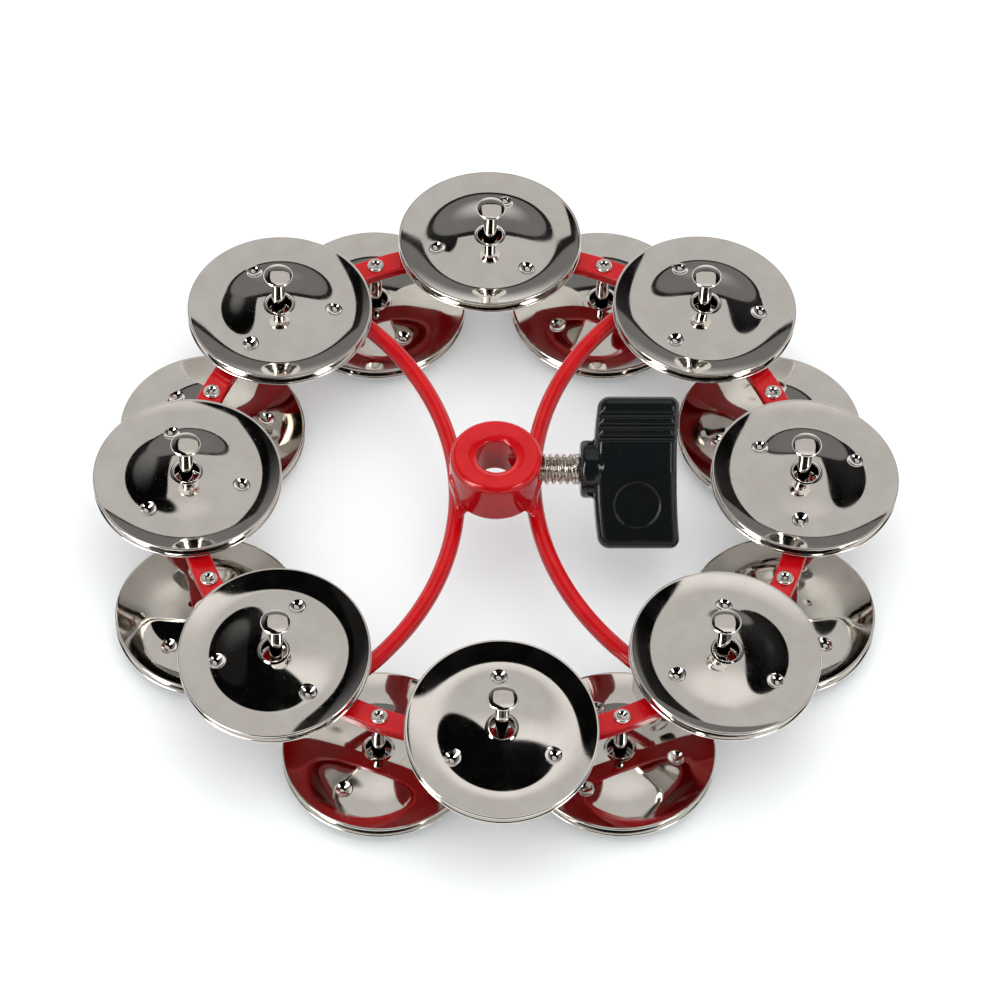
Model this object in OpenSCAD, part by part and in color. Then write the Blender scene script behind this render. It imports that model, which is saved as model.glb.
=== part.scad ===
// Mountable jingle-ring tambourine.
// A flat steel ring carries headed pins, alternately pointing up and hanging down,
// and each pin holds a loose pair of domed jingles. Two bowed rods join the ring to a
// central hub, which a T-handled screw clamps onto a rod that passes through the hub.
//
// Origin: centre of the hub's bore. +Z runs up the bore, +X points to the T-handle.

/* [Ring] */
// Diameter of the circle that the pins stand on
pin_circle_d = 166; // [160:1:176]
// Radial width of the flat ring
ring_w = 6.4; // [5.5:0.1:8]
// Thickness of the flat ring
ring_t = 3; // [2.5:0.1:3.5]

/* [Jingles] */
// Outer diameter of one jingle
jingle_d = 50.8; // [46:0.2:54]
// Thickness of the jingle's sheet metal
sheet_t = 0.6; // [0.5:0.05:0.8]
// Diameter of the jingle's centre hole
jingle_hole_d = 6.8; // [6.6:0.1:7.4]
// Height of the jingle's central dome over its flat band
dome_h = 2; // [1.4:0.1:2.2]
// How far the jingle's rim flares away from its partner
flare_h = 1.1; // [0.3:0.05:1.2]

/* [Pins] */
// Diameter of a pin's shank
pin_d = 3.6; // [3:0.1:3.8]
// Diameter of a pin's head
pin_head_d = 8.1; // [7.6:0.1:9]
// Height of the head's flat face over the ring
pin_h = 18.2; // [17:0.1:22]

/* [Hub and spokes] */
// Outer diameter of the hub
hub_d = 24.8; // [23:0.2:26]
// Diameter of the hub's bore
bore_d = 10.4; // [9.6:0.1:11.2]
// Height of the hub
hub_h = 12.9; // [12.5:0.1:16]
// Diameter of the two bowed rods
spoke_d = 4.6; // [4:0.1:5]
// Radius of the rods' bow
spoke_bow_r = 81; // [76:1:86]
// Turn of the hub and its rods about the bore, against the pins
spoke_turn = 0.8; // [-2:0.1:2]

/* [Clamp] */
// Outer diameter of the clamp screw's thread
thread_d = 8.2; // [7:0.1:8.4]
// Pitch of the clamp screw's thread
thread_pitch = 1.8; // [1.2:0.1:2]
// Length of the T-handle, tip to tip
wing_l = 40; // [34:1:41]
// Width of the T-handle along the screw
wing_w = 21.9; // [18:0.1:22]
// Thickness of the T-handle at its middle
wing_t = 13; // [11:0.5:14]

/* [Hidden] */
PINS_PER_SIDE = 8;
PIN_STEP = 360 / PINS_PER_SIDE;
SIDES = ["up", "down"];
PLACES = ["ring_side", "head_side"];
JINGLE_NODES = [for (side = SIDES, i = [1:PINS_PER_SIDE], place = PLACES)
    str("jingle_", side, "_", i, "_", place)];
PIN_NODES = [for (side = SIDES, i = [1:PINS_PER_SIDE]) str("pin_", side, "_", i)];

RED = [0.82, 0.07, 0.09];
NICKEL = [0.78, 0.75, 0.71];
STEEL = [0.7, 0.68, 0.64];
BLACK = [0.05, 0.05, 0.055];

// How each upward pair lies on its pin: [lean, roll, side shift]. Lean drops the edge that
// faces away from the hub, roll drops the anticlockwise edge, and the shift is away from
// the hub. The pairs count anticlockwise from +X.
UP_REST = [
    [2.5, -1, 0.5],
    [2.5, -1, 0.3],
    [3, 0.5, 0.2],
    [1, 0, -0.5],
    [1.5, 1, -0.2],
    [8, 1.5, 0.5],
    [11.5, 1, 0.7],
    [6, 1, 0.8],
];
// How far the upper jingle of each pair is turned about its pin, and its partner's turn
// from it
UP_SPIN = [22, 70, 102, 103, 47, 81, 62, 14];
DOWN_SPIN = [65, 95, 51, 25, 98, 15, 60, 20];
PARTNER_SPIN = 37;

gap = 0.2;
fit_gap = 0.06;
pin_circle_r = pin_circle_d / 2;
hub_lift = 0.3;
ring_top = -hub_h / 2 - hub_lift;
ring_bottom = ring_top - ring_t;

jingle_r = jingle_d / 2;
hole_r = jingle_hole_d / 2;
lip_w = 1;
lip_h = 0.2;
dome_r = 18;
dome_power = 2.4;
dome_steps = 9;
flat_r = 18.5;
flare_power = 1.6;
flare_steps = 5;
dimple_r = 2.3;
dimple_depth = 0.35;
dimple_ball_r = (dimple_r * dimple_r + dimple_depth * dimple_depth) / (2 * dimple_depth);
dimple_place_r = 15;

pin_r = pin_d / 2;
pin_head_r = pin_head_d / 2;
head_t = 3;
head_land = 0.9;
tail_r = 2.3;
tail_h = 0.8;
tail_hole_r = 0.8;
tail_edge = 0.4;
head_edge = 0.45;
head_crown = 0.15;

hub_r = hub_d / 2;
bore_r = bore_d / 2;
spoke_r = spoke_d / 2;
spoke_waist = hub_r - spoke_r + 0.2;
spoke_saddle = 0.4;
spoke_z = -hub_h / 2 + spoke_saddle - spoke_r;
weld_w = 2;
weld_h = 4;

thread_r = thread_d / 2;
thread_depth = 0.85;
screw_tip_x = bore_r + 0.3;
boss_x = 22.6;
boss_l = 4.9;
boss_r = 7.75;
collar_l = 1.3;
wing_x = boss_x + boss_l;
core_l = 13;
screw_end_x = wing_x + core_l;
core_r = thread_r - thread_depth;
wing_corner_r = 2.6;
wing_waist = 0.9;
wing_bow = 1;
wing_tip_t = 8;
handle_tilt = 52.4;
wing_slope = atan((wing_t - wing_tip_t) / wing_l);
rib_count = 3;
rib_start = 8.9;
rib_pitch = 3.1;
rib_depth = 0.7;
rib_inset = 1.9;
dish_r = 6.2;
dish_y = 10.2;
dish_depth = 0.5;

// A smooth step from 0 at a to 1 at b
function ramp(x, a, b) =
    let (u = min(1, max(0, (x - a) / (b - a)))) u * u * (3 - 2 * u);

// Height of the jingle's outer face over its flat band, at radius r: a bell-shaped dome,
// and a rim that flares up again
function dome(r) = dome_h * pow(1 - pow(min(1, r / dome_r), dome_power), 2);
function flare(r) =
    let (u = max(0, (r - flat_r) / (jingle_r - flat_r))) flare_h * pow(u, flare_power);
function lip(r) = lip_h * (1 - ramp(r, hole_r + 0.3, hole_r + lip_w));
function face_h(r) = dome(r) + flare(r) + lip(r);
// Height of the wings' face at a distance y from the screw
function wing_face_z(y) = wing_t / 2 - y * tan(wing_slope);

// Radii at which the sheet's section has a corner: the lip, the dome and the rim
DOME_START_R = hole_r + lip_w;
SECTION_R = concat(
    [hole_r, hole_r + lip_w / 2],
    [for (k = [0:dome_steps]) DOME_START_R + k * (dome_r - DOME_START_R) / dome_steps],
    [for (k = [0:flare_steps]) flat_r + k * (jingle_r - flat_r) / flare_steps]
);
// Half the thickness of a pair at its hole
pair_half_h = sheet_t + face_h(hole_r);

// One jingle, with its mating face at z = 0 and its dome upward
module jingle() {
    steps = len(SECTION_R);
    inside = [for (r = SECTION_R) [r, face_h(r)]];
    outside = [for (k = [steps - 1:-1:0]) [SECTION_R[k], face_h(SECTION_R[k]) + sheet_t]];
    difference() {
        rotate_extrude($fn = 96) polygon(concat(inside, outside));
        for (a = [0, 120, 240])
            rotate([0, 0, a])
                translate([dimple_place_r, 0, face_h(dimple_place_r) + sheet_t
                    + dimple_ball_r - dimple_depth])
                    sphere(r = dimple_ball_r, $fn = 64);
    }
}

// Puts its children on pin i of one side, with z = 0 on the ring's own face.
// Hanging pins sit half a step round, and are turned over.
module at_pin(side, i) {
    if (side == "up")
        rotate([0, 0, PIN_STEP * (i - 1)])
            translate([pin_circle_r, 0, ring_top])
                children();
    else
        rotate([0, 0, PIN_STEP * (i - 0.5)])
            translate([pin_circle_r, 0, ring_bottom])
                rotate([180, 0, 0])
                    children();
}

// Height of the plane where a pair's two jingles meet, measured from the ring's face
function up_plane(lean) = gap + pair_half_h + ring_w / 2 * sin(lean);
head_cone_r = pin_head_r - pin_r;
cone_h = head_t - head_land;
down_plane = pin_h - head_t + cone_h * (hole_r - pin_r) / head_cone_r - gap - pair_half_h;

module jingle_node(side, i, place) {
    // On a hanging pin the whole pair rests on the head, level
    rest = side == "up" ? UP_REST[i - 1] : [0, 0, 0];
    plane = side == "up" ? up_plane(rest[0]) : down_plane;
    spin = side == "up" ? UP_SPIN[i - 1] : DOWN_SPIN[i - 1];
    towards_head = place == "head_side";
    is_upper = towards_head == (side == "up");
    color(NICKEL)
        at_pin(side, i)
            translate([rest[2], 0, plane])
                rotate([-rest[1], rest[0], 0])
                    translate([0, 0, towards_head ? gap / 2 : -gap / 2])
                        rotate([towards_head ? 0 : 180, 0, spin + (is_upper ? 0 : PARTNER_SPIN)])
                            jingle();
}

// Headed pin: a shank through the ring, a coned head, and a cupped, clinched tail
module pin_node(side, i) {
    head_z = pin_h - head_t;
    land_z = pin_h - head_land;
    tail_z = -ring_t - tail_h;
    tail_cup = tail_h * 0.6;
    color(NICKEL)
        at_pin(side, i)
            rotate_extrude($fn = 64)
                polygon([
                    [0, tail_z + tail_cup],
                    [tail_hole_r, tail_z + tail_cup],
                    [tail_hole_r + tail_edge, tail_z],
                    [tail_r - tail_edge, tail_z],
                    [tail_r, tail_z + tail_edge],
                    [tail_r, -ring_t],
                    [pin_r, -ring_t],
                    [pin_r, head_z],
                    [pin_head_r, land_z],
                    [pin_head_r, pin_h - head_edge],
                    [pin_head_r - head_edge / 2, pin_h - head_crown],
                    [pin_head_r - 2 * head_edge, pin_h],
                    [0, pin_h],
                ]);
}

// Flat ring with a hole for each pin
module ring() {
    corner = 0.4;
    inner = pin_circle_r - ring_w / 2;
    outer = pin_circle_r + ring_w / 2;
    color(RED)
        difference() {
            rotate_extrude($fn = 180)
                polygon([
                    [inner, ring_bottom + corner],
                    [inner + corner, ring_bottom],
                    [outer - corner, ring_bottom],
                    [outer, ring_bottom + corner],
                    [outer, ring_top - corner],
                    [outer - corner, ring_top],
                    [inner + corner, ring_top],
                    [inner, ring_top - corner],
                ]);
            for (k = [0:2 * PINS_PER_SIDE - 1])
                rotate([0, 0, k * PIN_STEP / 2])
                    translate([pin_circle_r, 0, ring_bottom - 1])
                        cylinder(r = pin_r + fit_gap / 2, h = ring_t + 2, $fn = 64);
        }
}

// Bowed round rod. Its bow's centre is on the far side of it from the hub.
module bowed_rod(reach) {
    bow_x = spoke_waist + spoke_bow_r;
    sweep = 2 * asin(reach / spoke_bow_r);
    translate([bow_x, 0, spoke_z])
        rotate([0, 0, 180 - sweep / 2])
            rotate_extrude(angle = sweep, $fn = 120)
                translate([spoke_bow_r, 0])
                    circle(r = spoke_r, $fn = 48);
}

// Rod on the +X side of the hub, cut to butt against the inside of the ring
module spoke() {
    reach = 0.9 * pin_circle_r;
    intersection() {
        bowed_rod(reach);
        translate([0, 0, spoke_z - spoke_d])
            cylinder(r = pin_circle_r - ring_w / 2, h = 2 * spoke_d, $fn = 180);
    }
}

module spoke_right() {
    color(RED) rotate([0, 0, spoke_turn]) spoke();
}

module spoke_left() {
    color(RED) rotate([0, 0, spoke_turn]) mirror([1, 0, 0]) spoke();
}

// Slices of one cone against the hub's foot, only where a rod runs out from under it
module weld_fillets() {
    half = hub_h / 2;
    root = 1;
    waist_w = weld_w * 0.3;
    waist_h = weld_h * 0.45;
    intersection() {
        rotate_extrude($fn = 120)
            polygon([
                [hub_r - root, -half],
                [hub_r + weld_w, -half],
                [hub_r + waist_w, -half + waist_h],
                [hub_r, -half + weld_h],
                [hub_r - root, -half + weld_h],
            ]);
        for (x = [-spoke_waist, spoke_waist])
            translate([x - spoke_r, -hub_d, -hub_h])
                cube([spoke_d, 2 * hub_d, 2 * hub_h]);
    }
}

// Bored boss that stands on both rods and is welded to them
module hub() {
    half = hub_h / 2;
    round_r = 1.5;
    foot_r = 0.8;
    lead = 0.9;
    mouth = [for (a = [90:30:180]) [bore_r + lead * (1 + cos(a)), half - lead * (1 - sin(a))]];
    top = [for (a = [0:15:90]) [hub_r - round_r * (1 - cos(a)), half - round_r * (1 - sin(a))]];
    foot = [for (a = [-90:30:0]) [hub_r - foot_r * (1 - cos(a)), -half + foot_r * (1 + sin(a))]];
    color(RED)
        difference() {
            rotate([0, 0, spoke_turn])
                difference() {
                    union() {
                        rotate_extrude($fn = 120)
                            polygon(concat(
                                [[bore_r, -half]],
                                foot,
                                top,
                                mouth
                            ));
                        weld_fillets();
                    }
                    bowed_rod(hub_d);
                    mirror([1, 0, 0]) bowed_rod(hub_d);
                }
            // Tapped cross hole, cut at the thread's outer diameter
            rotate([0, 90, 0])
                cylinder(r = thread_r + fit_gap, h = hub_d, $fn = 64);
        }
}

// Clamp screw: threaded shank, a plain collar, and a core that runs inside the T-handle
module clamp_screw() {
    thread_l = boss_x - collar_l - screw_tip_x;
    turns = floor(thread_l / thread_pitch);
    crest = thread_pitch * 0.16;
    tip_edge = 0.8;
    start = thread_l - turns * thread_pitch;
    groove = [for (k = [0:turns - 1])
        let (z = start + k * thread_pitch)
        each [
            [thread_r, z + crest],
            [thread_r - thread_depth, z + thread_pitch / 2],
            [thread_r, z + thread_pitch - crest],
        ]];
    color(STEEL)
        translate([screw_tip_x, 0, 0])
            rotate([0, 90, 0])
                rotate_extrude($fn = 96)
                    polygon(concat(
                        [[0, 0], [thread_r - tip_edge, 0], [thread_r, tip_edge]],
                        groove,
                        [
                            [thread_r, thread_l + collar_l - gap],
                            [core_r, thread_l + collar_l - gap],
                            [core_r, screw_end_x - screw_tip_x],
                            [0, screw_end_x - screw_tip_x],
                        ]
                    ));
}

// Outline of the wings: a rectangle with round corners, a near edge that bows towards the
// hub and a slight waist in the far edge
module wing_outline() {
    setback = 0.2;
    half = wing_l / 2 - wing_corner_r;
    near = wing_x + setback + wing_corner_r;
    far = wing_x + wing_w - wing_corner_r;
    waist_r = (half * half + wing_waist * wing_waist) / (2 * wing_waist);
    bow_r = (half * half + wing_bow * wing_bow) / (2 * wing_bow);
    difference() {
        intersection() {
            union() {
                for (x = [near, far], y = [-half, half])
                    translate([x, y]) circle(r = wing_corner_r, $fn = 48);
                translate([near - wing_corner_r, -half]) square([far - near + 2 * wing_corner_r, 2 * half]);
                translate([near, -wing_l / 2]) square([far - near, wing_l]);
            }
            translate([near - wing_corner_r + bow_r, 0]) circle(r = bow_r, $fn = 360);
        }
        translate([far + wing_corner_r - wing_waist + waist_r, 0]) circle(r = waist_r, $fn = 360);
    }
}

// Section of the wings: thick at the middle, thinner towards both tips
module wing_section() {
    tip = wing_l / 2;
    round_r = 1;
    crown = 3;
    crown_drop = 0.2;
    side = [
        [0, wing_t / 2 - crown_drop],
        [crown, wing_face_z(crown)],
        [tip - round_r, wing_face_z(tip - round_r)],
        [tip, wing_face_z(tip) - round_r],
    ];
    polygon(concat(
        side,
        [for (k = [3:-1:0]) [side[k][0], -side[k][1]]],
        [for (k = [1:3]) [-side[k][0], -side[k][1]]],
        [for (k = [3:-1:1]) [-side[k][0], side[k][1]]]
    ));
}

// T-handle: a boss and two wings, fine ribs on one wing and a shallow dish on the other.
// It is drawn with its wings along Y and its face to +Z, then turned about the screw.
module t_handle() {
    edge = 1.2;
    root_l = 2.5;
    root_r = wing_t / 2 - 0.4;
    groove_w = rib_pitch * 0.35;
    color(BLACK)
        rotate([90 - handle_tilt, 0, 0])
            difference() {
                union() {
                    rotate([0, 90, 0])
                        rotate_extrude($fn = 96)
                            polygon([
                                [0, boss_x],
                                [boss_r - edge, boss_x],
                                [boss_r - edge * 0.3, boss_x + edge * 0.3],
                                [boss_r, boss_x + edge],
                                [boss_r, wing_x],
                                [root_r, wing_x + root_l],
                                [0, wing_x + root_l],
                            ]);
                    intersection() {
                        translate([0, 0, -wing_t]) linear_extrude(2 * wing_t) wing_outline();
                        rotate([90, 0, 90]) linear_extrude(wing_x + wing_w) wing_section();
                    }
                }
                // Socket that the screw's core runs in
                translate([boss_x - 1, 0, 0])
                    rotate([0, 90, 0])
                        cylinder(r = core_r + fit_gap, h = screw_end_x + gap - boss_x + 1, $fn = 64);
                // Grooves between the ribs, on the wing at +Y
                for (k = [0:rib_count - 1])
                    let (y = rib_start + k * rib_pitch)
                        translate([wing_x + rib_inset, y, wing_face_z(y) - rib_depth])
                            cube([wing_w - 2 * rib_inset, groove_w, wing_t]);
                // Thumb dish, on the wing at -Y
                translate([wing_x + wing_w / 2, -dish_y, wing_face_z(dish_y) - dish_depth])
                    rotate([wing_slope, 0, 0])
                        cylinder(r = dish_r, h = wing_t, $fn = 64);
            }
}

ring();
spoke_left();
spoke_right();
hub();
clamp_screw();
t_handle();
for (side = SIDES, i = [1:PINS_PER_SIDE])
    pin_node(side, i);
for (side = SIDES, i = [1:PINS_PER_SIDE], place = PLACES)
    jingle_node(side, i, place);
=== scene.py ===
"""Looks of the mountable jingle-ring tambourine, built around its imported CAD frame.

Every length below is in millimetres unless its comment says metres. The frame is the CAD's own:
the origin is the centre of the hub's bore, +Z runs up the bore and +X points to the T-handle.
"""

import math

import bmesh
import bpy
import numpy as np
from mathutils import Matrix, Vector


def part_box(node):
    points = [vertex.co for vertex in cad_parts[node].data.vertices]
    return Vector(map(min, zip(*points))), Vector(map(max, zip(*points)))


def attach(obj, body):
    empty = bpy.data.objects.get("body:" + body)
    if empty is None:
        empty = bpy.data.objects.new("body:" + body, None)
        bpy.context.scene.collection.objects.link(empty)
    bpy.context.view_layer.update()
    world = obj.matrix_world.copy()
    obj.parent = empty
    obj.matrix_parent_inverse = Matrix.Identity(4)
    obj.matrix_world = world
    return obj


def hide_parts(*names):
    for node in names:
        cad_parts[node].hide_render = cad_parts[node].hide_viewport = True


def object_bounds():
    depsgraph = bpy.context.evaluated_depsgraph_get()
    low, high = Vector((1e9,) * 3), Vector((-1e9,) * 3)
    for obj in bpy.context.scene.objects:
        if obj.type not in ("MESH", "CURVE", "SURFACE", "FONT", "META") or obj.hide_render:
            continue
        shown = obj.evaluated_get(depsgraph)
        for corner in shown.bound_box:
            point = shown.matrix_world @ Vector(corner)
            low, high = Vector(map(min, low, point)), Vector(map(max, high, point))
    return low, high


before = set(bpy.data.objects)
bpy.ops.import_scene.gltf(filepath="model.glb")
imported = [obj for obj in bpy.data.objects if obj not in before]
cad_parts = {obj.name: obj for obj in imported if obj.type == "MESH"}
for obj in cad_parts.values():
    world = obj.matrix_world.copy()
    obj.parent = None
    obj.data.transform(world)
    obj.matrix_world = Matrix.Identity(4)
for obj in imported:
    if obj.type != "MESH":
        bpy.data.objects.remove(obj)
cad_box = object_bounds()

MM = 0.001
PINS_PER_SIDE = 8

# Ring, hub and rods
PIN_CIRCLE_R = 83
RING_W = 6.4
RING_CORNER = 0.55
HUB_R = 12.4
BORE_R = 5.3
MOUTH_W = 2.6
MOUTH_SLOPE, MOUTH_STEEPEST = 9, 34
HUB_HALF_H = 6.45
CROSS_HOLE_R = 4.16
WELD_H = 6.4
SPOKE_R = 2.3
SPOKE_BOW_R = 81
SPOKE_WAIST = 10.3
SPOKE_Z = -8.35
SPOKE_TURN = math.radians(0.8)

# Jingle sheet, as heights over the plane where the two jingles of a pair meet
JINGLE_R = 25.4
HOLE_R = 3.4
SHEET_T = 0.6
LIP_W = 1.0
LIP_H = 0.2
DOME_R = 18
DOME_H = 2
DOME_POWER = 2.4
FLAT_R = 18.5
FLARE_H = 1.1
FLARE_POWER = 1.6
DIMPLE_R = 2.15
DIMPLE_DEPTH = 0.85
DIMPLE_BUMP = 0.3
DIMPLE_PLACE_R = 15

# Pins, as heights over the ring's face
PIN_R = 1.8
PIN_HEAD_R = 4.05
PIN_H = 18.2
TAIL_H = 0.8
RING_T = 3

# Clamp screw and T-handle
THREAD_R = 4.1
THREAD_DEPTH = 0.85
THREAD_PITCH = 1.8
SCREW_TIP_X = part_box("clamp_screw")[0].x / MM
COLLAR_L = 1.3
CORE_R = 3.25
BOSS_X = 22.6
BOSS_R = 7.75
SOCKET_R = 3.31
WING_X = 25.9
WING_W = 23.6
WING_L = 40.8
WING_DROP = 0.9
WING_T = 14.6
WING_TAPER = 0.165
WING_CORNER_R = 2.9
WING_EDGE_R = 2.7
WING_BOW = 1.6
WING_WAIST = 1.1
RIB_COUNT = 3
RIB_START = 8.9
RIB_PITCH = 3.1
RIB_DEPTH = 0.7
RIB_R = 1.1
RIB_INSET = 1.5
DISH_R = 6.2
DISH_Y = 8.7
DISH_DEPTH = 0.5
SCREW_END_X = 40.5
HANDLE_TURN = math.radians(90 - 52.4)

# Softbox: its height in metres, and its edges as multiples of that height from the origin
BOX_H = 1.2
BOX_NEAR, BOX_FAR = 0.01, 1.13
BOX_MIDDLE, BOX_HALF_W = 0.075, 0.41


# ---------------------------------------------------------------- mesh helpers


def link(name, mesh):
    obj = bpy.data.objects.new(name, mesh)
    bpy.context.scene.collection.objects.link(obj)
    return obj


def mesh_from(name, points, faces):
    """A smooth-shaded mesh from points in millimetres."""
    mesh = bpy.data.meshes.new(name)
    mesh.from_pydata([Vector(p) * MM for p in points], [], faces)
    mesh.validate()
    mesh.update()
    mesh.shade_smooth()
    return mesh


def lathe(profile, angles, closed=False):
    """Points and faces of a profile of (radius, height) turned about +Z.

    A closed profile joins its last point to its first. An open one starts and ends on the
    axis, where each ring of points shrinks to one.
    """
    points, faces, rings = [], [], []
    for radius, height in profile:
        if radius < 1e-6:
            rings.append([len(points)] * len(angles))
            points.append((0, 0, height))
        else:
            first = len(points)
            rings.append(list(range(first, first + len(angles))))
            points += [(radius * math.cos(a), radius * math.sin(a), height) for a in angles]
    pairs = list(zip(rings, rings[1:]))
    if closed:
        pairs.append((rings[-1], rings[0]))
    for low, high in pairs:
        for k in range(len(angles)):
            n = (k + 1) % len(angles)
            corners = [low[k], low[n], high[n], high[k]]
            faces.append(list(dict.fromkeys(corners)))
    return points, faces


def evenly(count):
    return [2 * math.pi * k / count for k in range(count)]


def arc(centre, radius, start, end, steps):
    """Points of an arc in the profile's plane, from start to end in degrees."""
    turns = [math.radians(start + (end - start) * k / steps) for k in range(steps + 1)]
    return [(centre[0] + radius * math.cos(t), centre[1] + radius * math.sin(t)) for t in turns]


def mix(a, b, t):
    return a + (b - a) * t


def smooth_step(x, low, high):
    u = min(1.0, max(0.0, (x - low) / (high - low)))
    return u * u * (3 - 2 * u)


def finished(obj, body, nodes, material):
    """Gives a piece its material and body, and says which CAD nodes it stands for."""
    obj.data.materials.clear()
    obj.data.materials.append(material)
    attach(obj, body)
    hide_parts(*nodes)
    return obj


def modified(obj):
    """The object's mesh with its modifiers applied, in a new mesh."""
    graph = bpy.context.evaluated_depsgraph_get()
    return bpy.data.meshes.new_from_object(obj.evaluated_get(graph))


def fused(name, parts, voxel, rounds):
    """One closed skin around overlapping meshes, with its edges and inner corners rounded."""
    joined = bmesh.new()
    for part in parts:
        joined.from_mesh(part)
    mesh = bpy.data.meshes.new(name + "_parts")
    joined.to_mesh(mesh)
    joined.free()
    obj = link(name + "_parts", mesh)
    skin = obj.modifiers.new("skin", "REMESH")
    skin.mode = "VOXEL"
    skin.voxel_size = voxel * MM
    soften = obj.modifiers.new("soften", "SMOOTH")
    soften.factor = 0.5
    soften.iterations = rounds
    result = modified(obj)
    bpy.data.objects.remove(obj)
    result.name = name
    result.shade_smooth()
    return result


def ball(centre, radius):
    """A rounded lump, used only to build up welds before they are fused."""
    lump = bmesh.new()
    at = Matrix.Translation(Vector(centre) * MM)
    bmesh.ops.create_icosphere(lump, subdivisions=3, radius=radius * MM, matrix=at)
    mesh = bpy.data.meshes.new("lump")
    lump.to_mesh(mesh)
    lump.free()
    return mesh


def turned(mesh, matrix):
    """The mesh after a turn or shift given in metres."""
    mesh.transform(matrix)
    return mesh


# ---------------------------------------------------------------- materials


class Tree:
    """Short ways to add and join the nodes of one shader."""

    def __init__(self, nodes_owner):
        nodes_owner.use_nodes = True
        self.tree = nodes_owner.node_tree
        self.tree.nodes.clear()

    def add(self, kind, **settings):
        node = self.tree.nodes.new(kind)
        for key, value in settings.items():
            setattr(node, key, value)
        return node

    def join(self, value, socket):
        if isinstance(value, bpy.types.NodeSocket):
            self.tree.links.new(value, socket)
        else:
            socket.default_value = value

    def math(self, operation, a, b=0.0):
        node = self.add("ShaderNodeMath", operation=operation)
        self.join(a, node.inputs[0])
        self.join(b, node.inputs[1])
        return node.outputs[0]

    def range(self, value, low, high, out_low=0.0, out_high=1.0):
        """value between low and high, smoothly mapped to the out range and held there."""
        node = self.add("ShaderNodeMapRange", interpolation_type="SMOOTHSTEP")
        for socket, v in zip(node.inputs, (value, low, high, out_low, out_high)):
            self.join(v, socket)
        return node.outputs[0]

    def noise(self, place, cell_mm, detail=2.0, roughness=0.5):
        node = self.add("ShaderNodeTexNoise")
        self.join(place, node.inputs["Vector"])
        node.inputs["Scale"].default_value = 1 / (cell_mm * MM)
        node.inputs["Detail"].default_value = detail
        node.inputs["Roughness"].default_value = roughness
        return node.outputs["Fac"]

    def stretched(self, place, scale):
        node = self.add("ShaderNodeMapping")
        self.join(place, node.inputs["Vector"])
        node.inputs["Scale"].default_value = scale
        return node.outputs["Vector"]

    def blend(self, factor, a, b):
        node = self.add("ShaderNodeMix", data_type="RGBA")
        self.join(factor, node.inputs["Factor"])
        self.join(a, node.inputs[6])
        self.join(b, node.inputs[7])
        return node.outputs[2]

    def bump(self, height, depth_mm, under=None):
        node = self.add("ShaderNodeBump")
        node.inputs["Strength"].default_value = 1.0
        node.inputs["Distance"].default_value = depth_mm * MM
        self.join(height, node.inputs["Height"])
        if under is not None:
            self.join(under, node.inputs["Normal"])
        return node.outputs[0]

    def place(self):
        return self.add("ShaderNodeTexCoord").outputs["Object"]

    def surface(self, colour, roughness, normal, **fixed):
        """A Principled shader, with its fixed values set on its own sockets."""
        shader = self.add("ShaderNodeBsdfPrincipled")
        self.join(colour, shader.inputs["Base Color"])
        self.join(roughness, shader.inputs["Roughness"])
        self.join(normal, shader.inputs["Normal"])
        for name, value in fixed.items():
            shader.inputs[name.replace("_", " ").title().replace("Ior", "IOR")].default_value = value
        output = self.add("ShaderNodeOutputMaterial")
        self.tree.links.new(shader.outputs[0], output.inputs["Surface"])


def rgb(red, green, blue):
    return (red, green, blue, 1.0)


def red_enamel():
    """Gloss powder coat: an orange-peel skin, a deeper red where it runs thin."""
    material = bpy.data.materials.new("red_enamel")
    t = Tree(material)
    at = t.place()
    cloud = t.noise(at, 6, detail=3)
    speck = t.range(t.noise(at, 0.45, detail=1), 0.3, 0.36, 1.0, 0.0)
    colour = t.blend(t.range(cloud, 0.35, 0.65), rgb(0.48, 0.002, 0.005), rgb(0.54, 0.003, 0.007))
    colour = t.blend(t.math("MULTIPLY", speck, 0.2), colour, rgb(0.42, 0.004, 0.008))
    roughness = t.range(cloud, 0.3, 0.7, 0.10, 0.17)
    peel = t.bump(t.noise(at, 1.5, detail=1), 0.02)
    grain = t.bump(speck, -0.006, under=peel)
    t.surface(colour, roughness, grain, ior=1.45)
    return material


def nickel(name, light, dark, wave_mm):
    """Polished plate: faint polishing lines, handling haze and a slightly uneven skin."""
    material = bpy.data.materials.new(name)
    t = Tree(material)
    at = t.place()
    haze = t.noise(at, 9, detail=4, roughness=0.6)
    lines = t.noise(t.stretched(at, (1, 14, 1)), 1.6, detail=3, roughness=0.7)
    spots = t.range(t.noise(at, 0.5, detail=0), 0.185, 0.205, 1.0, 0.0)
    colour = t.blend(t.range(haze, 0.3, 0.7), dark, light)
    roughness = t.math("ADD", t.range(haze, 0.4, 0.75, 0.035, 0.085), t.math("MULTIPLY", spots, 0.12))
    wave = t.bump(t.noise(at, 13, detail=1), wave_mm)
    polish = t.bump(lines, 0.0007, under=wave)
    t.surface(colour, roughness, polish, metallic=1.0)
    return material


def screw_steel():
    """Zinc-plated thread: satin, with darker residue in patches."""
    material = bpy.data.materials.new("screw_steel")
    t = Tree(material)
    at = t.place()
    patches = t.noise(at, 1.4, detail=3)
    rings = t.noise(t.stretched(at, (16, 1, 1)), 1.2, detail=2)
    colour = t.blend(t.range(patches, 0.35, 0.65), rgb(0.40, 0.36, 0.31), rgb(0.66, 0.62, 0.57))
    roughness = t.range(patches, 0.3, 0.7, 0.16, 0.3)
    t.surface(colour, roughness, t.bump(rings, 0.006), metallic=1.0)
    return material


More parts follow.
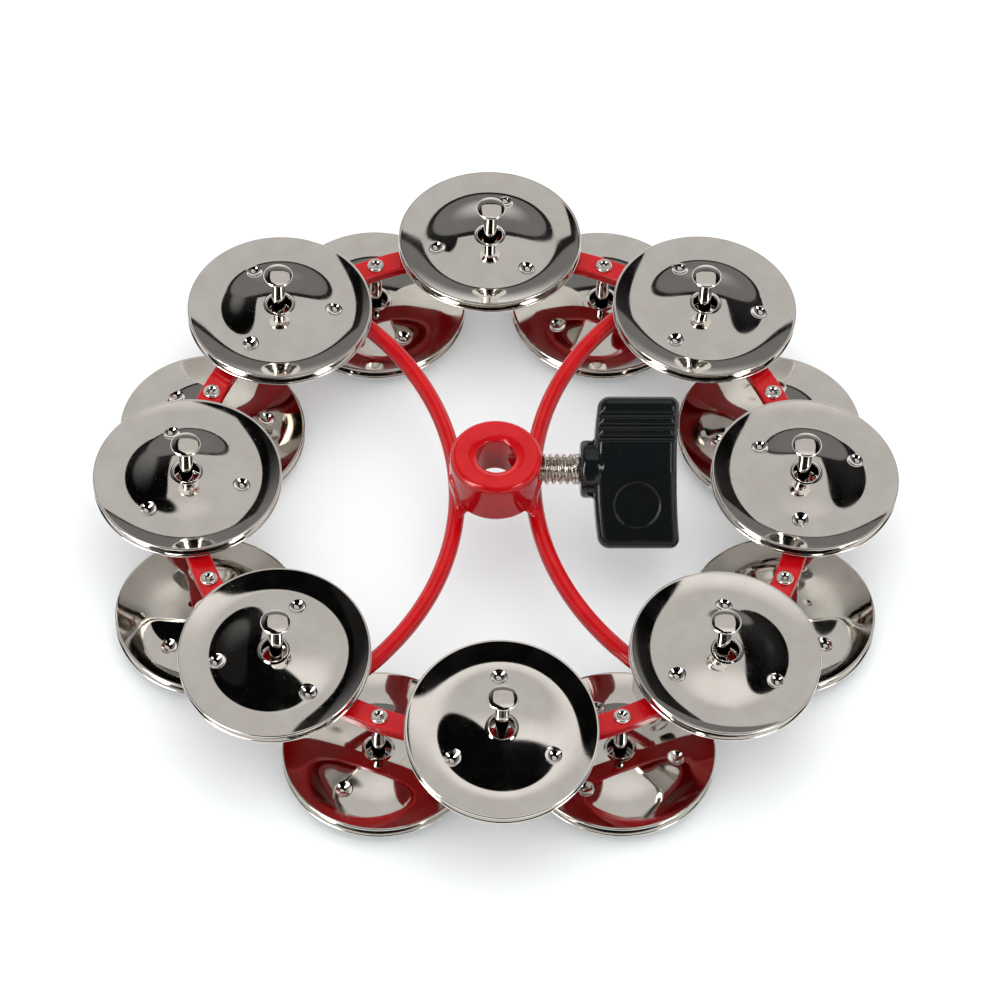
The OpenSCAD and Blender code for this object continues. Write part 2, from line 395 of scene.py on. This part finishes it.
def black_plastic():
    """Moulded gloss plastic: a faint flow pattern and fine dust."""
    material = bpy.data.materials.new("black_plastic")
    t = Tree(material)
    at = t.place()
    flow = t.noise(at, 7, detail=3)
    dust = t.range(t.noise(at, 0.35, detail=0), 0.2, 0.22, 1.0, 0.0)
    colour = t.blend(t.math("MULTIPLY", dust, 0.3), rgb(0.006, 0.0075, 0.0085), rgb(0.03, 0.03, 0.03))
    roughness = t.math("ADD", t.range(flow, 0.3, 0.7, 0.10, 0.18), t.math("MULTIPLY", dust, 0.2))
    skin = t.bump(t.noise(at, 2.2, detail=2), 0.015)
    t.surface(colour, roughness, skin, ior=1.42)
    return material


RED = red_enamel()
JINGLE_NICKEL = nickel("nickel_jingle", rgb(0.74, 0.71, 0.67), rgb(0.68, 0.65, 0.61), 0.012)
PIN_NICKEL = nickel("nickel_pin", rgb(0.78, 0.75, 0.70), rgb(0.70, 0.66, 0.61), 0.006)
STEEL = screw_steel()
BLACK = black_plastic()


# ---------------------------------------------------------------- jingles


def face_height(radius):
    """Height of the sheet's inner face: a bell-shaped dome, a raised lip round the hole, and
    a rim that turns up again."""
    dome = DOME_H * (1 - min(1.0, radius / DOME_R) ** DOME_POWER) ** 2
    rim = FLARE_H * max(0.0, (radius - FLAT_R) / (JINGLE_R - FLAT_R)) ** FLARE_POWER
    lip = LIP_H * (1 - smooth_step(radius, HOLE_R + 0.3, HOLE_R + LIP_W))
    return dome + rim + lip


def dimple_drop(x, y, depth):
    """How far a point of the sheet is punched in by the nearest of the three dimples."""
    ball_r = (DIMPLE_R**2 + depth**2) / (2 * depth)
    for k in range(3):
        a = 2 * math.pi * k / 3
        d = math.hypot(x - DIMPLE_PLACE_R * math.cos(a), y - DIMPLE_PLACE_R * math.sin(a))
        if d < DIMPLE_R:
            return math.sqrt(ball_r**2 - d * d) - (ball_r - depth)
    return 0.0


def jingle_radii(step):
    """Radii of the rings of points across one face, finer over the lip and the dimples."""
    lip = [HOLE_R + 0.18 + LIP_W * k / 7 for k in range(8)]
    dome = [mix(lip[-1], 12.5, k / 12) for k in range(1, 12)]
    dimples = list(np.arange(12.5, 17.6, step))
    rim = [mix(17.8, JINGLE_R - 0.3, k / 16) for k in range(17)]
    return lip + dome + dimples + rim


def jingle_angles():
    """Angles of the points round the jingle, closer together near each dimple."""
    near = [math.radians(a) for a in np.arange(-10, 10.01, 0.8)]
    wide = [math.radians(a) for a in np.arange(12.5, 108, 2.5)]
    return [a + 2 * math.pi * k / 3 for k in range(3) for a in near + wide]


def jingle_mesh():
    """The domed sheet, with both faces, rounded edges and punched dimples."""
    edge = 0.3
    inner = [(r, face_height(r)) for r in jingle_radii(0.5)]
    outer = [(r, face_height(r) + SHEET_T) for r in reversed(jingle_radii(0.25))]
    rim_z = face_height(JINGLE_R - edge) + SHEET_T / 2
    hole_z = face_height(HOLE_R) + SHEET_T / 2
    rim = [(JINGLE_R - edge + edge * c, rim_z + (SHEET_T / 2) * s) for c, s in
           [(math.cos(a), math.sin(a)) for a in map(math.radians, (-55, -20, 20, 55))]]
    hole = [(HOLE_R + 0.18 - 0.18 * c, hole_z + (SHEET_T / 2) * s) for c, s in
            [(math.cos(a), math.sin(a)) for a in map(math.radians, (50, 0, -50))]]
    points, faces = lathe(inner + rim + outer + hole, jingle_angles(), closed=True)
    first_outer = (len(inner) + len(rim)) * len(jingle_angles())
    depths = [DIMPLE_BUMP if k < first_outer else DIMPLE_DEPTH for k in range(len(points))]
    points = [(x, y, z - dimple_drop(x, y, depth)) for (x, y, z), depth in zip(points, depths)]
    mesh = mesh_from("jingle", points, [f[::-1] for f in faces])
    return mesh


def jingle_place(node):
    """Where a jingle lies, read from its CAD mesh: the middle of its mating plane, with +Z
    towards its dome and +X over one dimple."""
    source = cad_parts[node].data.vertices
    points = np.zeros(len(source) * 3)
    source.foreach_get("co", points)
    points = points.reshape(-1, 3) / MM
    middle = (points.min(0) + points.max(0)) / 2
    for _ in range(4):
        reach = np.linalg.norm(points - middle, axis=1)
        rim = points[reach > reach.max() - 0.8]
        axis = np.linalg.svd(rim - rim.mean(0))[2][2]
        side = np.linalg.svd(rim - rim.mean(0))[2][0]
        other = np.cross(axis, side)
        flat = np.c_[(rim - middle) @ side, (rim - middle) @ other]
        fit = np.linalg.lstsq(np.c_[2 * flat, np.ones(len(flat))], (flat**2).sum(1), rcond=None)[0]
        heights = (rim - middle) @ axis
        middle = middle + fit[0] * side + fit[1] * other + (heights.min() + heights.max()) / 2 * axis
    from_axis = points - middle
    radius = np.linalg.norm(from_axis - np.outer(from_axis @ axis, axis), axis=1)
    if (from_axis[radius < HOLE_R + 0.2] @ axis).mean() < 0:
        axis = -axis
    other = np.cross(axis, side)
    height = from_axis @ axis + FLARE_H + SHEET_T / 2
    top = np.array([face_height(r) for r in radius]) + SHEET_T
    ring = np.abs(radius - DIMPLE_PLACE_R) < 0.7 * DIMPLE_R
    punched = from_axis[ring & (top - height > 0.15) & (top - height < 0.6)]
    turns = np.arctan2(punched @ other, punched @ side)
    spin = np.angle(np.exp(3j * turns).mean()) / 3
    across = math.cos(spin) * side + math.sin(spin) * other
    origin = middle - (FLARE_H + SHEET_T / 2) * axis
    place = Matrix.Identity(4)
    for column, vector in enumerate((across, np.cross(axis, across), axis, origin * MM)):
        for row in range(3):
            place[row][column] = vector[row]
    return place


def upright(place):
    """The part of a jingle's place that only tips it over, so that its own box stays square to
    the frame; its turn about its own axis is left for the mesh."""
    axis = place.to_3x3().col[2]
    flip = Matrix.Identity(4) if axis.z > 0 else Matrix.Rotation(math.pi, 4, "X")
    lean = flip.to_3x3().col[2].rotation_difference(axis)
    return Matrix.Translation(place.translation) @ lean.to_matrix().to_4x4() @ flip


def make_jingles():
    mesh = jingle_mesh()
    for side in ("up", "down"):
        for i in range(1, PINS_PER_SIDE + 1):
            for place in ("ring_side", "head_side"):
                node = f"jingle_{side}_{i}_{place}"
                at = jingle_place(node)
                stand = upright(at)
                piece = link(f"sheet_{side}_{i}_{place}", turned(mesh.copy(), stand.inverted() @ at))
                piece.matrix_world = stand
                finished(piece, node, [node], JINGLE_NICKEL)


# ---------------------------------------------------------------- pins


def pin_mesh():
    """Headed pin with z = 0 on the ring's face: rounded head, neck fillet, and a tail that
    is rolled over into a cup."""
    tail_z = -RING_T - TAIL_H
    cup = [(0, tail_z + 0.62), (0.35, tail_z + 0.6), (0.7, tail_z + 0.5), (1.0, tail_z + 0.28)]
    roll = arc((1.55, tail_z + 0.33), 0.33, 200, 270, 4) + arc((1.85, tail_z + 0.45), 0.45, 275, 360, 6)
    shank = [(2.3, -RING_T), (PIN_R, -RING_T + 0.02), (PIN_R, 4), (PIN_R, 9), (PIN_R, 14.2)]
    neck = [(PIN_R + 0.06, 14.8), (PIN_R + 0.25, 15.3), (PIN_R + 0.62, 15.75)]
    cone = [(2.85, 16.15), (3.3, 16.55), (3.62, 16.85)]
    rim = arc((PIN_HEAD_R - 0.42, 17.3), 0.42, -45, 80, 8)
    crown = [(3.2, 17.86), (2.6, 18.0), (1.8, 18.1), (0.9, 18.17), (0, PIN_H)]
    points, faces = lathe(cup + roll + shank + neck + cone + rim + crown, evenly(72))
    return mesh_from("pin", points, faces)


def make_pins():
    mesh = pin_mesh()
    for side in ("up", "down"):
        for i in range(1, PINS_PER_SIDE + 1):
            node = f"pin_{side}_{i}"
            low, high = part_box(node)
            middle = (low + high) / 2
            piece = link(f"rivet_{side}_{i}", mesh)
            if side == "up":
                piece.matrix_world = Matrix.Translation((middle.x, middle.y, high.z - PIN_H * MM))
            else:
                foot = Matrix.Translation((middle.x, middle.y, low.z + PIN_H * MM))
                piece.matrix_world = foot @ Matrix.Rotation(math.pi, 4, "X")
            finished(piece, "frame", [node], PIN_NICKEL)


# ---------------------------------------------------------------- ring, rods and hub


def make_ring():
    """Flat bar bent to a circle, with softly rounded corners and a drilled hole per pin."""
    low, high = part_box("ring")
    bottom, top = low.z / MM, high.z / MM
    inner, outer = PIN_CIRCLE_R - RING_W / 2, PIN_CIRCLE_R + RING_W / 2
    c = RING_CORNER
    section = (
        arc((inner + c, bottom + c), c, 180, 270, 5)
        + arc((outer - c, bottom + c), c, 270, 360, 5)
        + arc((outer - c, top - c), c, 0, 90, 5)
        + arc((inner + c, top - c), c, 90, 180, 5)
    )
    points, faces = lathe(section, evenly(320), closed=True)
    ring = link("ring_bar", mesh_from("ring_bar", points, [f[::-1] for f in faces]))
    drill = bmesh.new()
    for k in range(2 * PINS_PER_SIDE):
        a = math.pi * k / PINS_PER_SIDE
        at = Vector((PIN_CIRCLE_R * math.cos(a), PIN_CIRCLE_R * math.sin(a), (bottom + top) / 2)) * MM
        bmesh.ops.create_cone(drill, cap_ends=True, segments=48, radius1=1.83 * MM,
                              radius2=1.83 * MM, depth=6 * MM, matrix=Matrix.Translation(at))
    holes = bpy.data.meshes.new("drill")
    drill.to_mesh(holes)
    drill.free()
    cutter = link("drill", holes)
    cut = ring.modifiers.new("holes", "BOOLEAN")
    cut.operation = "DIFFERENCE"
    cut.object = cutter
    cut.solver = "EXACT"
    even = ring.modifiers.new("normals", "WEIGHTED_NORMAL")
    even.keep_sharp = True
    ring.data = modified(ring)
    ring.modifiers.clear()
    bpy.data.objects.remove(cutter)
    finished(ring, "frame", ["ring"], RED)


def rod_point(side, angle, lift=0.0):
    """A point on a rod's centre line. The angle is measured at the bow's centre, from the
    hub, and side is +1 for the rod nearer the T-handle."""
    bow_x = SPOKE_WAIST + SPOKE_BOW_R
    x = side * (bow_x - SPOKE_BOW_R * math.cos(angle))
    y = SPOKE_BOW_R * math.sin(angle)
    c, s = math.cos(SPOKE_TURN), math.sin(SPOKE_TURN)
    return Vector((x * c - y * s, x * s + y * c, SPOKE_Z + lift))


def rod_tube(side, reach):
    """A round rod swept along its bow, from -reach to +reach."""
    steps, around = 96, 40
    points, faces = [], []
    for k in range(steps + 1):
        a = mix(-reach, reach, k / steps)
        middle = rod_point(side, a)
        along = (rod_point(side, a + 0.01) - middle).normalized()
        across = along.cross(Vector((0, 0, 1)))
        for t in evenly(around):
            points.append(middle + SPOKE_R * (across * math.cos(t) + Vector((0, 0, math.sin(t)))))
    for k in range(steps):
        for j in range(around):
            n = (j + 1) % around
            row, above = k * around, (k + 1) * around
            faces.append([row + j, row + n, above + n, above + j])
    faces.append(list(range(around))[::-1])
    faces.append([steps * around + j for j in range(around)])
    return mesh_from("rod", points, faces)


def rod_reach(side):
    """The angle at which a rod's centre line comes to the inside of the ring."""
    inside = PIN_CIRCLE_R - RING_W / 2
    low, high = 0.2, 1.5
    for _ in range(40):
        middle = (low + high) / 2
        if rod_point(side, middle).xy.length < inside:
            low = middle
        else:
            high = middle
    return low


def make_rods():
    """Each bowed rod with a bead of weld where it butts against the ring."""
    for name, side in (("spoke_right", 1), ("spoke_left", -1)):
        reach = rod_reach(side)
        parts = [rod_tube(side, reach + 0.004)]
        for end in (-1, 1):
            for k in range(9):
                turn = math.radians(mix(-80, 260, k / 8))
                middle = rod_point(side, end * (reach - 0.012))
                along = (rod_point(side, end * (reach + 0.01)) - middle).normalized()
                across = along.cross(Vector((0, 0, 1)))
                out = across * math.cos(turn) + Vector((0, 0, math.sin(turn)))
                parts.append(ball(middle + out * (SPOKE_R - 0.25), 0.75))
        mesh = fused(name + "_rod", parts, voxel=0.24, rounds=5)
        finished(link(name + "_rod", mesh), "frame", [name], RED)


def hub_body():
    """The bored boss: rounded shoulder, small foot radius and a dished mouth to the bore."""
    half = HUB_HALF_H
    shoulder = 1.8
    foot = 0.8
    run = math.sin(math.radians(MOUTH_STEEPEST)) - math.sin(math.radians(MOUTH_SLOPE))
    bowl = MOUTH_W / run
    slope = math.radians(MOUTH_SLOPE)
    bowl_centre = (BORE_R + MOUTH_W + bowl * math.sin(slope), half - bowl * math.cos(slope))
    profile = (
        [(BORE_R, -half), (HUB_R - foot, -half)]
        + arc((HUB_R - foot, -half + foot), foot, -90, 0, 5)
        + arc((HUB_R - shoulder, half - shoulder), shoulder, 0, 90, 10)
        + arc(bowl_centre, bowl, 90 + MOUTH_SLOPE, 90 + MOUTH_STEEPEST, 12)
    )
    points, faces = lathe(profile, evenly(144), closed=True)
    return mesh_from("hub_body", points, faces)


def weld_lumps():
    """Filler metal where each rod runs out from under the hub: a web that climbs the hub's
    wall and thins out along the rod."""
    lumps = []
    for side in (-1, 1):
        for end in (-1, 1):
            for k in range(15):
                t = k / 14
                on_rod = rod_point(side, end * mix(0.03, 0.15, t), lift=SPOKE_R * 0.7)
                wall = on_rod.copy()
                wall.xy = on_rod.xy.normalized() * (HUB_R - 0.3)
                climb = WELD_H * (1 - smooth_step(t, 0, 0.9))
                wall.z = -HUB_HALF_H + climb
                radius = mix(1.15, 0.6, t)
                for j in range(6):
                    lumps.append(ball(wall.lerp(on_rod, j / 5), radius))
    return lumps


def make_hub():
    """The hub and its welds in one skin of paint, with the tapped cross hole."""
    body = link("hub_solid", fused("hub_boss", [hub_body()] + weld_lumps(), voxel=0.2, rounds=5))
    cross = bmesh.new()
    at = Matrix.Translation(Vector((HUB_R, 0, 0)) * MM) @ Matrix.Rotation(math.pi / 2, 4, "Y")
    bmesh.ops.create_cone(cross, cap_ends=True, segments=64, radius1=CROSS_HOLE_R * MM,
                          radius2=CROSS_HOLE_R * MM, depth=2 * HUB_R * MM, matrix=at)
    tool = bpy.data.meshes.new("cross")
    cross.to_mesh(tool)
    cross.free()
    cutter = link("cross", tool)
    cut = body.modifiers.new("cross", "BOOLEAN")
    cut.operation = "DIFFERENCE"
    cut.object = cutter
    cut.solver = "EXACT"
    body.data = modified(body)
    body.modifiers.clear()
    bpy.data.objects.remove(cutter)
    body.name = "hub_boss"
    finished(body, "frame", ["hub"], RED)


# ---------------------------------------------------------------- clamp


def thread_cut(phase):
    """Depth of the thread's groove, from 0 at its crest to 1 at its root, over one pitch."""
    flat = 0.13
    root = 0.06
    away = abs(phase - 0.5) * 2
    return 1 - smooth_step(away, root, 1 - flat)


def make_screw():
    """Clamp screw with a true helical thread, a plain collar and a core inside the handle."""
    around = 96
    collar_x = BOSS_X - COLLAR_L
    thread_l = collar_x - SCREW_TIP_X
    steps = int(thread_l / THREAD_PITCH * 16)
    rows = []
    for k in range(steps + 1):
        x = thread_l * k / steps
        chamfer = THREAD_R - 0.8 + min(0.8, x)
        fade = smooth_step(x, thread_l - 0.9, thread_l - 0.2)
        row = []
        for j in range(around):
            phase = (x / THREAD_PITCH - j / around) % 1.0
            cut = THREAD_R - THREAD_DEPTH * thread_cut(phase) * (1 - fade)
            row.append((x, min(cut, chamfer)))
        rows.append(row)
    end = SCREW_END_X - SCREW_TIP_X
    collar = arc((thread_l + 0.12, THREAD_R - 0.12), 0.12, 180, 90, 3)
    collar += arc((thread_l + COLLAR_L - 0.35, THREAD_R - 0.15), 0.15, 90, 0, 3)
    rows += [[p] * around for p in collar]
    rows += [[p] * around for p in ((thread_l + COLLAR_L - 0.2, CORE_R), (end, CORE_R))]
    points = []
    for row in rows:
        for j, (x, radius) in enumerate(row):
            a = 2 * math.pi * j / around
            points.append((SCREW_TIP_X + x, radius * math.cos(a), radius * math.sin(a)))
    faces = []
    for k in range(len(rows) - 1):
        for j in range(around):
            n = (j + 1) % around
            row, above = k * around, (k + 1) * around
            faces.append([row + j, above + j, above + n, row + n])
    faces.append(list(range(around)))
    faces.append([(len(rows) - 1) * around + j for j in range(around)][::-1])
    mesh = mesh_from("screw_thread", points, faces)
    finished(link("screw_thread", mesh), "clamp_screw", ["clamp_screw"], STEEL)


def prism(outline, half_height):
    """A closed block with the given outline. half_height(y) is half its thickness there."""
    count = len(outline)
    points = [(x, y, sign * half_height(y)) for sign in (-1, 1) for x, y in outline]
    faces = [[k, (k + 1) % count, count + (k + 1) % count, count + k] for k in range(count)]
    return points, faces


def wing_outline():
    """Rounded rectangle whose near edge bows to the hub and whose far edge is waisted."""
    half = WING_L / 2
    c = WING_CORNER_R
    near, far = WING_X + 0.2, WING_X + WING_W
    corners = [
        arc((far - c, half - c), c, 0, 90, 8),
        arc((near + c, half - c), c, 90, 180, 8),
        arc((near + c, c - half), c, 180, 270, 8),
        arc((far - c, c - half), c, 270, 360, 8),
    ]
    sides = [[(near, mix(half - c, c - half, k / 12)) for k in range(1, 12)],
             [(far, mix(c - half, half - c, k / 12)) for k in range(1, 12)]]
    outline = corners[0] + corners[1] + sides[0] + corners[2] + corners[3] + sides[1]
    bent = []
    for x, y in outline:
        t = (x - near) / (far - near)
        sweep = (y / half) ** 2
        bent.append((x + mix(WING_BOW * sweep, -WING_WAIST * (1 - sweep), t), y))
    return bent


def wing_block():
    """Both wings in one block, thicker at the middle, with its edges rounded over."""
    outline = wing_outline()
    points, faces = prism(outline, lambda y: WING_T / 2 - abs(y) * WING_TAPER)
    count = len(outline)
    upper = [k for k in range(count) if outline[k][1] > -0.001]
    lower = [k for k in range(count) if outline[k][1] < 0.001]
    for half in (sorted(upper, key=lambda k: turn_from_middle(outline[k], 1)),
                 sorted(lower, key=lambda k: turn_from_middle(outline[k], -1))):
        faces.append([count + k for k in half])
        faces.append(half[::-1])
    block = bmesh.new()
    rounded = mesh_from("wings", points, faces)
    block.from_mesh(rounded)
    bmesh.ops.recalc_face_normals(block, faces=block.faces)
    sharp = [e for e in block.edges if e.is_manifold and e.calc_face_angle() > math.radians(45)]
    bmesh.ops.bevel(block, geom=sharp, offset=WING_EDGE_R * MM, segments=6, profile=0.5,
                    affect="EDGES", clamp_overlap=True)
    block.to_mesh(rounded)
    block.free()
    return rounded


def turn_from_middle(point, side):
    """Angle of an outline point about the middle of the wings, from the far edge round."""
    x = point[0] - (WING_X + WING_W / 2)
    return side * math.atan2(side * point[1], x)


def rod_along_x(radius, start, end, y, z):
    """A cutting rod along +X."""
    tool = bmesh.new()
    middle = Vector(((start + end) / 2, y, z)) * MM
    at = Matrix.Translation(middle) @ Matrix.Rotation(math.pi / 2, 4, "Y")
    bmesh.ops.create_cone(tool, cap_ends=True, segments=48, radius1=radius * MM,
                          radius2=radius * MM, depth=(end - start) * MM, matrix=at)
    mesh = bpy.data.meshes.new("tool")
    tool.to_mesh(mesh)
    tool.free()
    return mesh


def thumb_dish():
    """The cutting disc for the shallow dish on the wing at -Y, square to the wing's face."""
    tool = bmesh.new()
    slope = math.atan(WING_TAPER)
    face = WING_T / 2 - DISH_Y * WING_TAPER
    depth = 4
    at = (Matrix.Translation(Vector((WING_X + WING_W / 2, -DISH_Y, face - DISH_DEPTH)) * MM)
          @ Matrix.Rotation(slope, 4, "X") @ Matrix.Translation((0, 0, depth / 2 * MM)))
    bmesh.ops.create_cone(tool, cap_ends=True, segments=96, radius1=DISH_R * MM,
                          radius2=DISH_R * MM, depth=depth * MM, matrix=at)
    mesh = bpy.data.meshes.new("dish")
    tool.to_mesh(mesh)
    tool.free()
    return mesh


def carved(mesh, tools):
    """The mesh with every tool cut out of it."""
    body = link("carved", mesh)
    joined = bmesh.new()
    for tool in tools:
        joined.from_mesh(tool)
    cutting = bpy.data.meshes.new("tools")
    joined.to_mesh(cutting)
    joined.free()
    cutter = link("cutter", cutting)
    cut = body.modifiers.new("cut", "BOOLEAN")
    cut.operation = "DIFFERENCE"
    cut.object = cutter
    cut.solver = "EXACT"
    result = modified(body)
    bpy.data.objects.remove(body)
    bpy.data.objects.remove(cutter)
    return result


def boss():
    """The round neck of the handle, bored for the screw's core, along +X. It sinks gently
    into the wings' faces."""
    edge = 1.3
    sinking = [(mix(BOSS_R, WING_T / 2 - 0.6, smooth_step(k, 0, 4)), WING_X + 0.5 + k) for k in range(5)]
    profile = (
        [(SOCKET_R, BOSS_X)]
        + arc((BOSS_R - edge, BOSS_X + edge), edge, -90, 0, 6)
        + sinking
        + [(SOCKET_R, WING_X + 4.5)]
    )
    points, faces = lathe(profile, evenly(96), closed=True)
    mesh = mesh_from("boss", points, faces)
    return turned(mesh, Matrix.Rotation(math.pi / 2, 4, "Y"))


def shoulder_web():
    """Webs that blend the boss into both wings, drawn with the wings along Y."""
    reach = 2.6
    curve = [(WING_X + 1 - reach * (1 - math.sin(t)), BOSS_R - 0.6 + reach * (1 - math.cos(t)))
             for t in [math.radians(a) for a in range(0, 91, 10)]]
    side = curve + [(WING_X + 3, BOSS_R - 0.6 + reach)]
    outline = side + [(x, -y) for x, y in reversed(side)]
    points, faces = prism(outline, lambda y: 4.6)
    count = len(outline)
    faces += [list(range(count))[::-1], [count + k for k in range(count)]]
    return mesh_from("web", points, faces)


def make_handle():
    """Moulded T-handle: boss, blended shoulders and wings, with a washboard of grooves on one
    wing and a plain thumb dish on the other."""
    grooves = []
    for k in range(RIB_COUNT):
        y = RIB_START + RIB_PITCH * (k + 0.18)
        face = WING_T / 2 - y * WING_TAPER
        grooves.append(rod_along_x(RIB_R, WING_X + RIB_INSET, WING_X + WING_W - RIB_INSET,
                                   y, face + RIB_R - RIB_DEPTH))
    socket = rod_along_x(SOCKET_R, BOSS_X - 1, SCREW_END_X + 0.2, 0, 0)
    wings = turned(carved(wing_block(), grooves + [thumb_dish()]),
                   Matrix.Translation((0, -WING_DROP * MM, 0)))
    wings = carved(wings, [socket])
    mesh = fused("handle_moulding", [wings, boss(), carved(shoulder_web(), [socket])],
                 voxel=0.17, rounds=4)
    turned(mesh, Matrix.Rotation(HANDLE_TURN, 4, "X"))
    finished(link("handle_moulding", mesh), "t_handle", ["t_handle"], BLACK)


# ---------------------------------------------------------------- camera and studio


def make_camera():
    """The viewing angle: about 52 degrees above the ring, from the front, with a long lens."""
    back = Vector((-0.032561, -0.608888, 0.792588)).normalized()
    up = Vector((-0.00023, 0.79302, 0.60922))
    right = up.cross(back).normalized()
    up = back.cross(right)
    camera = bpy.data.cameras.new("camera")
    camera.sensor_width = 36
    camera.lens = 193.82
    camera.clip_start = 0.05
    camera.clip_end = 50
    obj = bpy.data.objects.new("camera", camera)
    bpy.context.scene.collection.objects.link(obj)
    obj.matrix_world = Matrix((
        (right.x, up.x, back.x, -45.96 * MM),
        (right.y, up.y, back.y, -887.3 * MM),
        (right.z, up.z, back.z, 1141.4 * MM),
        (0, 0, 0, 1),
    ))
    bpy.context.scene.camera = obj


def make_floor():
    """A plain pale floor, level with the heads that the part stands on. It glows faintly all over, and
    to bounced light it shows dark grey: a painted shade that darkens the part's undersides.
    """
    reach = 6.0
    mesh = bpy.data.meshes.new("floor")
    corners = [(-reach, -reach), (reach, -reach), (reach, reach), (-reach, reach)]
    mesh.from_pydata([(x, y, cad_box[0].z) for x, y in corners], [], [(0, 1, 2, 3)])
    floor = link("floor", mesh)
    material = bpy.data.materials.new("floor")
    t = Tree(material)
    mottle = t.noise(t.place(), 60, detail=2)
    colour = t.blend(mottle, rgb(0.85, 0.875, 0.885), rgb(0.87, 0.895, 0.905))
    # Painted shade: bounced light sees the floor as dark grey, so the undersides it lights stay dark.
    bounce_shade_switch = t.add("ShaderNodeLightPath").outputs["Is Diffuse Ray"]
    colour = t.blend(bounce_shade_switch, colour, rgb(0.15, 0.155, 0.16))
    t.surface(colour, 0.75, t.bump(mottle, 0.01), ior=1.3, emission_color=rgb(0.9, 1.0, 1.03),
              emission_strength=0.12)
    mesh.materials.append(material)


def make_softbox():
    """One long overhead softbox behind the part, as its mirror faces show it: even, with a
    brighter band near its front end and its front right corner cut off."""
    light = bpy.data.lights.new("softbox", "AREA")
    light.shape = "RECTANGLE"
    light.size = 2 * BOX_HALF_W * BOX_H
    light.size_y = (BOX_FAR - BOX_NEAR) * BOX_H
    light.color = (1.0, 0.975, 0.95)
    light.energy = 0.63 * math.pi * light.size * light.size_y
    t = Tree(light)
    split = t.add("ShaderNodeSeparateXYZ")
    t.join(t.add("ShaderNodeNewGeometry").outputs["Parametric"], split.inputs[0])
    across, along = split.outputs["X"], split.outputs["Y"]
    bright = t.math("MULTIPLY", t.range(along, 0.05, 0.32, 1.6, 1.0), t.range(along, 0.0, 0.03))
    corner = t.math("ADD", t.math("MULTIPLY", along, 1.475), across)
    lamp = t.add("ShaderNodeEmission")
    t.join(t.math("MULTIPLY", bright, t.range(corner, 0.44, 0.48)), lamp.inputs["Strength"])
    output = t.add("ShaderNodeOutputLight")
    t.tree.links.new(lamp.outputs[0], output.inputs["Surface"])
    obj = bpy.data.objects.new("softbox", light)
    obj.location = (BOX_MIDDLE * BOX_H, (BOX_NEAR + BOX_FAR) / 2 * BOX_H, BOX_H)
    bpy.context.scene.collection.objects.link(obj)


def band(t, value, steps, top=1.0):
    """Rises from 0 to top between the first two steps, and falls back between the last two."""
    a, b, c, d = steps
    return t.math("MULTIPLY", t.range(value, a, b), t.range(value, c, d, top, 0.0))


def make_world():
    """Studio surroundings: pale all round for matt surfaces. Mirrors see a white low wall that
    greys upwards, a black frame round the softbox, darkness overhead and two strip lights
    beside the camera."""
    world = bpy.data.worlds.new("studio")
    bpy.context.scene.world = world
    t = Tree(world)
    split = t.add("ShaderNodeSeparateXYZ")
    t.join(t.add("ShaderNodeTexCoord").outputs["Generated"], split.inputs[0])
    x, y, z = split.outputs
    degree = 180 / math.pi
    elevation = t.math("MULTIPLY", t.math("ARCSINE", z), degree)
    # 0 straight behind the part, negative to its left, 180 towards the camera
    azimuth = t.math("MULTIPLY", t.math("ARCTAN2", x, y), degree)
    wall = t.math("ADD", t.range(elevation, 14, 31, 0.95, 0.0), t.range(elevation, 36, 54, 0.2, 0.012))
    above = t.math("MAXIMUM", z, 0.05)
    across, behind = t.math("DIVIDE", x, above), t.math("DIVIDE", y, above)
    left, right = BOX_MIDDLE - BOX_HALF_W, BOX_MIDDLE + BOX_HALF_W
    frame_sides = band(t, across, (left - 0.12, left - 0.07, right + 0.22, right + 0.3))
    frame_back = t.range(behind, BOX_FAR + 0.04, BOX_FAR + 0.07, 1.0, 0.0)
    frame_mask = t.math("MULTIPLY", frame_sides, frame_back)
    wall = t.math("MULTIPLY", wall, t.math("SUBTRACT", 1.0, t.math("MULTIPLY", frame_mask, 0.9)))
    left_light = t.math("MULTIPLY", band(t, elevation, (10, 14, 66, 70), 12.0),
                        band(t, azimuth, (-131, -128, -111, -108)))
    right_light = t.math("MULTIPLY", band(t, elevation, (36, 39, 56, 59), 8.0),
                         band(t, azimuth, (112, 115, 129, 132)))
    mirrored = t.math("ADD", wall, t.math("ADD", left_light, right_light))
    toward_key = t.math("ADD", t.math("MULTIPLY", y, 0.35), t.math("MULTIPLY", z, 0.9))
    soft = t.range(toward_key, -0.4, 1.1, 0.6, 1.42)
    path = t.add("ShaderNodeLightPath")
    shown = t.math("MULTIPLY", path.outputs["Is Glossy Ray"], t.math("SUBTRACT", mirrored, soft))
    strength = t.math("ADD", soft, shown)
    background = t.add("ShaderNodeBackground")
    background.inputs["Color"].default_value = rgb(1.0, 0.99, 0.98)
    t.join(strength, background.inputs["Strength"])
    output = t.add("ShaderNodeOutputWorld")
    t.tree.links.new(background.outputs[0], output.inputs["Surface"])


# ---------------------------------------------------------------- build

make_camera()
make_jingles()
make_pins()
make_ring()
make_rods()
make_hub()
make_screw()
make_handle()
make_floor()
make_softbox()
make_world()
bpy.context.scene.view_settings.view_transform = "Standard"
